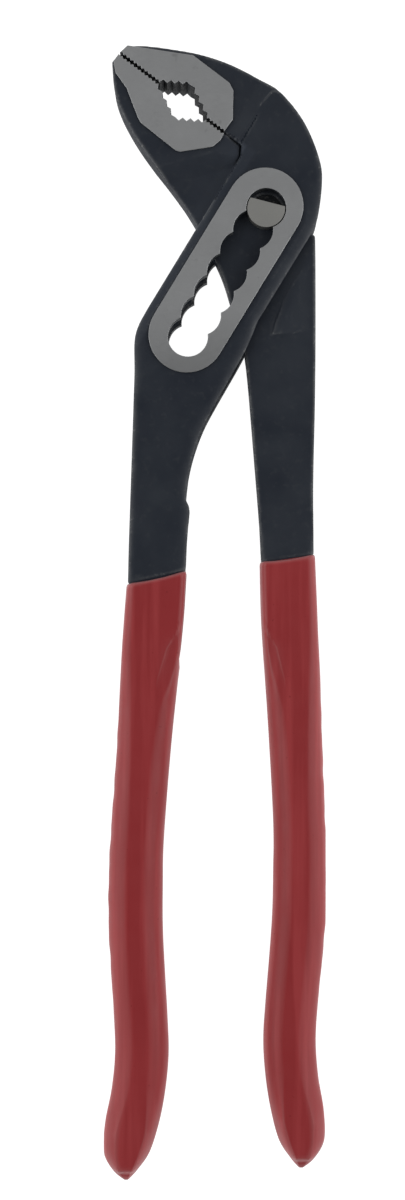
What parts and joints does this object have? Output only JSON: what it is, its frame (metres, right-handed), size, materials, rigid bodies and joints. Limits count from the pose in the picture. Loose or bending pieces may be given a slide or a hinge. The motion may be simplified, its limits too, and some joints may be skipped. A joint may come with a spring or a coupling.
{
  "type": "water pump pliers",
  "caption": "Slip-joint water pump pliers with a slotted box joint, toothed pipe jaws, a D-ended pivot pin that steps along the slot, and dipped red grips.",
  "frame": {"origin": "on the pivot axis with the pin in the top hole of the slot, in the plane of the rear joint pad", "axes": "+X towards the inner lever's handle, +Y towards the jaws, +Z out of the front face"},
  "size_m": [0.0492, 0.2504, 0.012],
  "materials": {
    "forged_steel": "satin blackened forging with ground pads",
    "ground_steel": "ground flat",
    "dipped_grip": "satin dipped vinyl"
  },
  "bodies": {
    "outer_arm": {"outer_lever": "forged_steel", "outer_grip": "dipped_grip"},
    "pivot": {"pivot_pin": "ground_steel"},
    "inner_arm": {"inner_lever": "forged_steel", "front_pin_head": "ground_steel", "rear_pin_head": "ground_steel", "inner_grip": "dipped_grip"}
  },
  "joints": [
    {"name": "slot_adjust", "type": "slide", "parent": "outer_arm", "child": "pivot", "axis": [-0.521, -0.8536, 0], "range_m": [0, 0.033]},
    {"name": "jaw_hinge", "type": "hinge", "parent": "pivot", "child": "inner_arm", "pos_m": [0, 0, 0], "axis": [0, 0, 1], "range_deg": [0, 44]}
  ]
}
